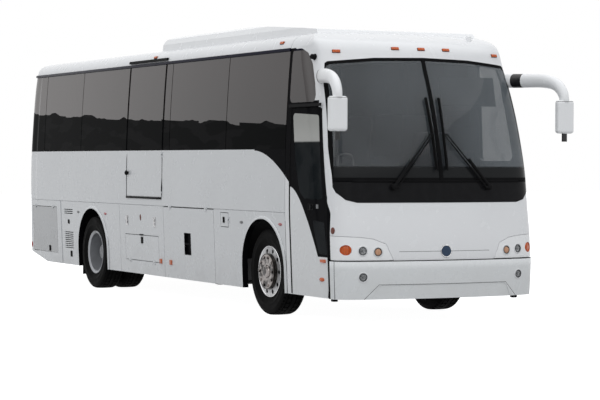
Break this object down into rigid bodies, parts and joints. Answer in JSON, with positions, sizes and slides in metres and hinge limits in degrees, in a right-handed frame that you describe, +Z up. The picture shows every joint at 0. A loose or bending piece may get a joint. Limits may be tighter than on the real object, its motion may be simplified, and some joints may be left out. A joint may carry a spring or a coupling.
{
  "type": "coach bus",
  "caption": "Two-axle coach bus with flush dark side windows, a divided curved windshield, entry, lift and luggage doors that open, twin rear wheels and steered front wheels.",
  "frame": {"origin": "on the ground under the middle of the overall box, mirrors included", "axes": "+X forwards along the coach, +Y to its left, +Z up"},
  "size_m": [10.6296, 3.072, 3.402],
  "materials": {
    "body_paint": "gloss white paint",
    "dark_glass": "dark tinted glass",
    "clear_glass": "lightly tinted glass",
    "black_panel": "gloss black",
    "seal_rubber": "matt black rubber",
    "bumper_plastic": "gloss white, moulded",
    "amber_lens": "amber lens",
    "lamp_lens": "clear lens over chrome",
    "red_lens": "red lens",
    "trim_black": "black moulded plastic",
    "polished_wheel": "polished",
    "silver_wheel": "silver paint",
    "tyre_rubber": "black tyre rubber",
    "frame_steel": "black chassis paint",
    "floor_cover": "grey ribbed floor",
    "tub_plate": "grey paint",
    "engine_metal": "grey cast iron",
    "dash_plastic": "dark grey grained",
    "seat_fabric": "dark blue-grey woven",
    "door_arm": "bright steel"
  },
  "bodies": {
    "root": {"side_wall_right": "body_paint", "side_wall_left": "body_paint", "body_windows": "dark_glass", "skirt_panels": "body_paint", "front_mask": "body_paint", "windshield_seal": "seal_rubber", "windshield": "clear_glass", "wiper_panel": "black_panel", "lamp_panels": "bumper_plastic", "front_bumper": "bumper_plastic", "rear_cap": "body_paint", "rear_bumper": "bumper_plastic", "rear_lamps": "red_lens", "roof": "body_paint", "marker_lamps": "amber_lens", "drip_rails": "trim_black", "headlamps": "lamp_lens", "roof_fairing": "bumper_plastic", "mirrors": "bumper_plastic", "wipers": "trim_black", "front_axle_beam": "frame_steel", "rear_axle": "frame_steel", "chassis_frame": "frame_steel", "floor": "floor_cover", "cab_floor": "floor_cover", "luggage_tubs": "tub_plate", "wheel_housings": "trim_black", "engine_block": "engine_metal", "dashboard": "dash_plastic", "seats": "seat_fabric"},
    "knuckle_right": {"knuckle_right": "frame_steel"},
    "knuckle_left": {"knuckle_left": "frame_steel"},
    "tie_rod": {"tie_rod": "frame_steel"},
    "front_wheel_right": {"wheel_front_right": "polished_wheel", "tyre_front_right": "tyre_rubber"},
    "front_wheel_left": {"wheel_front_left": "polished_wheel", "tyre_front_left": "tyre_rubber"},
    "rear_wheels_right": {"wheels_rear_right": "silver_wheel", "tyres_rear_right": "tyre_rubber"},
    "rear_wheels_left": {"wheels_rear_left": "silver_wheel", "tyres_rear_left": "tyre_rubber"},
    "steering_wheel": {"steering_wheel": "dash_plastic"},
    "door_post": {"door_post": "door_arm"},
    "entry_door": {"entry_door": "black_panel", "entry_door_glass": "clear_glass"},
    "lift_door": {"lift_door": "body_paint", "lift_door_glass": "dark_glass"},
    "luggage_door_right": {"luggage_door_right": "body_paint"},
    "luggage_door_left": {"luggage_door_left": "body_paint"},
    "lift_compartment_lid": {"lift_compartment_lid": "body_paint"},
    "fuel_flap": {"fuel_flap": "body_paint"},
    "rear_flap_right": {"rear_flap_right": "body_paint"},
    "rear_flap_left": {"rear_flap_left": "body_paint"},
    "engine_lid": {"engine_lid": "body_paint"}
  },
  "joints": [
    {"name": "steer_right", "type": "hinge", "parent": "root", "child": "knuckle_right", "pos_m": [3.0797, -0.885, 0.505], "axis": [0, 0, 1], "range_deg": [-42, 42]},
    {"name": "steer_left", "type": "hinge", "parent": "root", "child": "knuckle_left", "pos_m": [3.0797, 0.885, 0.505], "axis": [0, 0, 1], "range_deg": [-42, 42]},
    {"name": "tie_rod_swing", "type": "hinge", "parent": "knuckle_right", "child": "tie_rod", "pos_m": [2.8597, -0.885, 0.38], "axis": [0, 0, 1], "range_deg": [-42, 42]},
    {"name": "steering_wheel_turn", "type": "hinge", "parent": "root", "child": "steering_wheel", "pos_m": [4.3697, 0.62, 1.56], "axis": [-0.5736, 0, 0.8192], "range_deg": [-756, 756]},
    {"name": "front_wheel_right_spin", "type": "hinge", "parent": "knuckle_right", "child": "front_wheel_right", "pos_m": [3.0797, -1.055, 0.505], "axis": [0, 1, 0], "continuous": true},
    {"name": "front_wheel_left_spin", "type": "hinge", "parent": "knuckle_left", "child": "front_wheel_left", "pos_m": [3.0797, 1.055, 0.505], "axis": [0, 1, 0], "continuous": true},
    {"name": "rear_wheels_right_spin", "type": "hinge", "parent": "root", "child": "rear_wheels_right", "pos_m": [-2.4703, -0.9305, 0.505], "axis": [0, 1, 0], "continuous": true},
    {"name": "rear_wheels_left_spin", "type": "hinge", "parent": "root", "child": "rear_wheels_left", "pos_m": [-2.4703, 0.9305, 0.505], "axis": [0, 1, 0], "continuous": true},
    {"name": "entry_post_turn", "type": "hinge", "parent": "root", "child": "door_post", "pos_m": [4.5797, -1.13, 1.3], "axis": [0, 0, 1], "range_deg": [0, 110]},
    {"name": "entry_door_swing", "type": "hinge", "parent": "door_post", "child": "entry_door", "pos_m": [4.1297, -1.13, 1.3], "axis": [0, 0, 1], "range_deg": [-110, 0]},
    {"name": "lift_door_swing", "type": "hinge", "parent": "root", "child": "lift_door", "pos_m": [0.0487, -1.279, 2.1], "axis": [0, 0, 1], "range_deg": [0, 170]},
    {"name": "luggage_door_right_lift", "type": "hinge", "parent": "root", "child": "luggage_door_right", "pos_m": [0.8997, -1.277, 1.192], "axis": [-1, 0, 0], "range_deg": [0, 85]},
    {"name": "luggage_door_left_lift", "type": "hinge", "parent": "root", "child": "luggage_door_left", "pos_m": [0.8997, 1.277, 1.192], "axis": [1, 0, 0], "range_deg": [0, 85]},
    {"name": "lift_lid_drop", "type": "hinge", "parent": "root", "child": "lift_compartment_lid", "pos_m": [-0.6603, -1.2475, 0.464], "axis": [1, 0, 0], "range_deg": [0, 95]},
    {"name": "fuel_flap_swing", "type": "hinge", "parent": "root", "child": "fuel_flap", "pos_m": [2.1257, -1.2755, 1.075], "axis": [0, 0, 1], "range_deg": [0, 110]},
    {"name": "rear_flap_right_lift", "type": "hinge", "parent": "root", "child": "rear_flap_right", "pos_m": [-4.4678, -1.2735, 1.105], "axis": [-1, 0, 0], "range_deg": [0, 80]},
    {"name": "rear_flap_left_lift", "type": "hinge", "parent": "root", "child": "rear_flap_left", "pos_m": [-4.4678, 1.2735, 1.105], "axis": [1, 0, 0], "range_deg": [0, 80]},
    {"name": "engine_lid_lift", "type": "hinge", "parent": "root", "child": "engine_lid", "pos_m": [-5.3103, 0, 1.756], "axis": [0, 1, 0], "range_deg": [0, 80]}
  ],
  "couplings": [
    {"joint": "steer_left", "follows": "steer_right", "ratio": 1},
    {"joint": "tie_rod_swing", "follows": "steer_right", "ratio": -1},
    {"joint": "steering_wheel_turn", "follows": "steer_right", "ratio": 18},
    {"joint": "entry_door_swing", "follows": "entry_post_turn", "ratio": -1}
  ]
}
